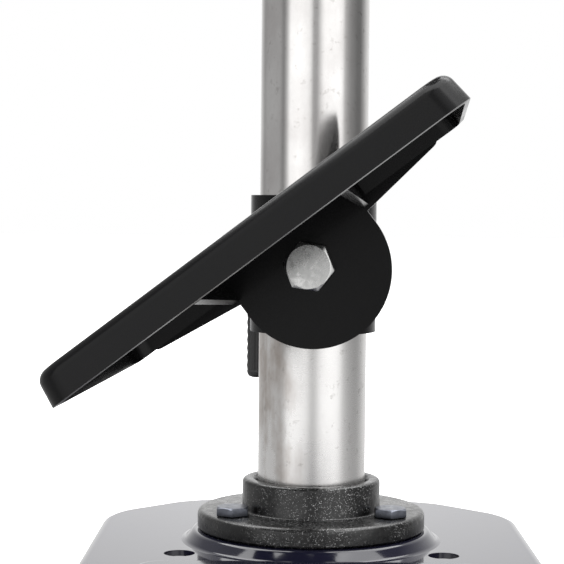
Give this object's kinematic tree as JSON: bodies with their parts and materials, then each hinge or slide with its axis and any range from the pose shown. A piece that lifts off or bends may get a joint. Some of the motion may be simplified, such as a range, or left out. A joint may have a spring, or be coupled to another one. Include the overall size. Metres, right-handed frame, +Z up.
{
  "type": "bench drill press",
  "caption": "Small bench drill press with a tilting stamped table on a ground column, a belt-driven quill head, a three-spoke feed and a keyed chuck.",
  "frame": {"origin": "under the middle of the whole machine, on the bench surface", "axes": "+Z up along the column, +X to the user's right, -Y towards the user"},
  "size_m": [0.208, 0.3778, 0.5863],
  "materials": {
    "navy_gloss_paint": "gloss stamped steel",
    "hammered_black": "hammered paint on a casting",
    "gloss_black_paint": "gloss stoved enamel",
    "ground_steel": "ground, bare",
    "zinc_plate": "bright zinc",
    "dark_steel": "phosphated",
    "black_plastic": "moulded",
    "grey_motor": "grey paint",
    "pulley_alloy": "turned casting",
    "belt_rubber": "dull",
    "green_plastic": "moulded",
    "red_plastic": "moulded",
    "clear_guard": "clear polycarbonate",
    "spring_steel": "blued"
  },
  "bodies": {
    "frame": {"base_plate": "navy_gloss_paint", "column_flange": "hammered_black", "flange_bolt_front_left": "dark_steel", "flange_nut_front_left": "zinc_plate", "flange_bolt_front_right": "dark_steel", "flange_nut_front_right": "zinc_plate", "flange_bolt_rear": "dark_steel", "flange_nut_rear": "zinc_plate", "column": "ground_steel", "head_casting": "gloss_black_paint", "head_set_screw": "dark_steel", "spring_housing": "gloss_black_paint", "return_spring": "spring_steel", "drive_belt": "belt_rubber", "pulley_bearing": "ground_steel", "belt_pan": "gloss_black_paint", "lid_hinge_pin": "zinc_plate", "switch_box": "black_plastic", "cable_gland": "black_plastic", "guard_bracket": "zinc_plate"},
    "collar": {"table_collar": "gloss_black_paint", "lock_nut": "zinc_plate", "tilt_bolt": "zinc_plate", "tilt_nut": "zinc_plate"},
    "lock_lever": {"lock_screw": "dark_steel", "lock_handle": "black_plastic"},
    "table": {"table_bracket": "gloss_black_paint", "table_top": "gloss_black_paint"},
    "quill": {"quill": "ground_steel", "lower_bearing": "ground_steel", "upper_bearing": "ground_steel"},
    "spindle": {"spindle": "ground_steel", "chuck_body": "ground_steel"},
    "chuck_sleeve": {"chuck_sleeve": "ground_steel"},
    "chuck_jaw_1": {"chuck_jaw_1": "dark_steel"},
    "chuck_jaw_2": {"chuck_jaw_2": "dark_steel"},
    "chuck_jaw_3": {"chuck_jaw_3": "dark_steel"},
    "feed": {"feed_shaft": "ground_steel", "feed_hub": "black_plastic", "feed_spoke_1": "zinc_plate", "feed_knob_1": "black_plastic", "feed_spoke_2": "zinc_plate", "feed_knob_2": "black_plastic", "feed_spoke_3": "zinc_plate", "feed_knob_3": "black_plastic"},
    "depth_stop": {"depth_stop_ring": "zinc_plate", "depth_stop_screw": "dark_steel"},
    "spindle_pulley": {"spindle_pulley": "pulley_alloy"},
    "motor": {"motor_body": "grey_motor", "motor_plate": "gloss_black_paint", "tension_rod_left": "ground_steel", "tension_rod_right": "ground_steel"},
    "motor_rotor": {"motor_shaft": "ground_steel", "motor_pulley": "pulley_alloy"},
    "tension_lock": {"tension_lock_knob": "black_plastic"},
    "belt_lid": {"belt_lid": "gloss_black_paint", "lid_knob": "black_plastic"},
    "start_button": {"start_button": "green_plastic"},
    "stop_button": {"stop_button": "red_plastic"},
    "guard": {"chuck_guard": "clear_guard"}
  },
  "joints": [
    {"name": "table_height", "type": "slide", "parent": "frame", "child": "collar", "axis": [0, 0, 1], "range_m": [-0.04, 0.045]},
    {"name": "lock_lever_turn", "type": "hinge", "parent": "collar", "child": "lock_lever", "pos_m": [-0.00283, 0.0608, 0.139], "axis": [0.9966, -0.0828, 0], "range_deg": [0, 110]},
    {"name": "table_tilt", "type": "hinge", "parent": "collar", "child": "table", "pos_m": [-0.00399, 0.02277, 0.139], "axis": [0.0828, 0.9966, 0], "range_deg": [-7.9, 82.1]},
    {"name": "quill_feed", "type": "slide", "parent": "frame", "child": "quill", "axis": [0, 0, -1], "range_m": [0, 0.05], "stiffness_N_per_m": 400, "springref_m": -0.09},
    {"name": "feed_turn", "type": "hinge", "parent": "frame", "child": "feed", "pos_m": [-0.00598, -0.07707, 0.43], "axis": [1, 0, 0], "range_deg": [0, 273]},
    {"name": "depth_stop_turn", "type": "hinge", "parent": "feed", "child": "depth_stop", "pos_m": [-0.00598, -0.07707, 0.43], "axis": [1, 0, 0], "range_deg": [-270, 0]},
    {"name": "pulley_spin", "type": "hinge", "parent": "frame", "child": "spindle_pulley", "pos_m": [-0.00598, -0.10507, 0.53], "axis": [0, 0, 1], "continuous": true},
    {"name": "spindle_spin", "type": "hinge", "parent": "quill", "child": "spindle", "pos_m": [-0.00598, -0.10507, 0.4], "axis": [0, 0, 1], "continuous": true},
    {"name": "motor_spin", "type": "hinge", "parent": "motor", "child": "motor_rotor", "pos_m": [-0.00598, 0.12893, 0.5], "axis": [0, 0, 1], "continuous": true},
    {"name": "motor_tension", "type": "slide", "parent": "frame", "child": "motor", "axis": [0, 1, 0], "range_m": [-0.009, 0]},
    {"name": "tension_lock_turn", "type": "hinge", "parent": "frame", "child": "tension_lock", "pos_m": [0.04402, 0.03693, 0.446], "axis": [1, 0, 0], "range_deg": [-180, 0]},
    {"name": "belt_lid_open", "type": "hinge", "parent": "frame", "child": "belt_lid", "pos_m": [-0.07148, 0.02293, 0.511], "axis": [0, 1, 0], "range_deg": [-100, 0]},
    {"name": "start_button_press", "type": "slide", "parent": "frame", "child": "start_button", "axis": [1, 0, 0], "range_m": [0, 0.003], "stiffness_N_per_m": 400},
    {"name": "stop_button_press", "type": "slide", "parent": "frame", "child": "stop_button", "axis": [1, 0, 0], "range_m": [0, 0.003], "stiffness_N_per_m": 400},
    {"name": "chuck_guard_swing", "type": "hinge", "parent": "frame", "child": "guard", "pos_m": [-0.05398, -0.08507, 0.34], "axis": [0, 0, 1], "range_deg": [-100, 0]},
    {"name": "chuck_sleeve_turn", "type": "hinge", "parent": "spindle", "child": "chuck_sleeve", "pos_m": [-0.00598, -0.10507, 0.31], "axis": [0, 0, 1], "range_deg": [0, 1080]},
    {"name": "chuck_jaw_1_slide", "type": "slide", "parent": "spindle", "child": "chuck_jaw_1", "axis": [0, -0.2588, -0.9659], "range_m": [0, 0.015]},
    {"name": "chuck_jaw_2_slide", "type": "slide", "parent": "spindle", "child": "chuck_jaw_2", "axis": [0.2241, 0.1294, -0.9659], "range_m": [0, 0.015]},
    {"name": "chuck_jaw_3_slide", "type": "slide", "parent": "spindle", "child": "chuck_jaw_3", "axis": [-0.2241, 0.1294, -0.9659], "range_m": [0, 0.015]}
  ],
  "couplings": [
    {"joint": "feed_turn", "follows": "quill_feed", "rad_per_m": 95.238},
    {"joint": "spindle_spin", "follows": "pulley_spin", "ratio": 1},
    {"joint": "motor_spin", "follows": "pulley_spin", "ratio": 1.201},
    {"joint": "chuck_jaw_1_slide", "follows": "chuck_sleeve_turn", "m_per_rad": 0.00079577},
    {"joint": "chuck_jaw_2_slide", "follows": "chuck_sleeve_turn", "m_per_rad": 0.00079577},
    {"joint": "chuck_jaw_3_slide", "follows": "chuck_sleeve_turn", "m_per_rad": 0.00079577}
  ]
}
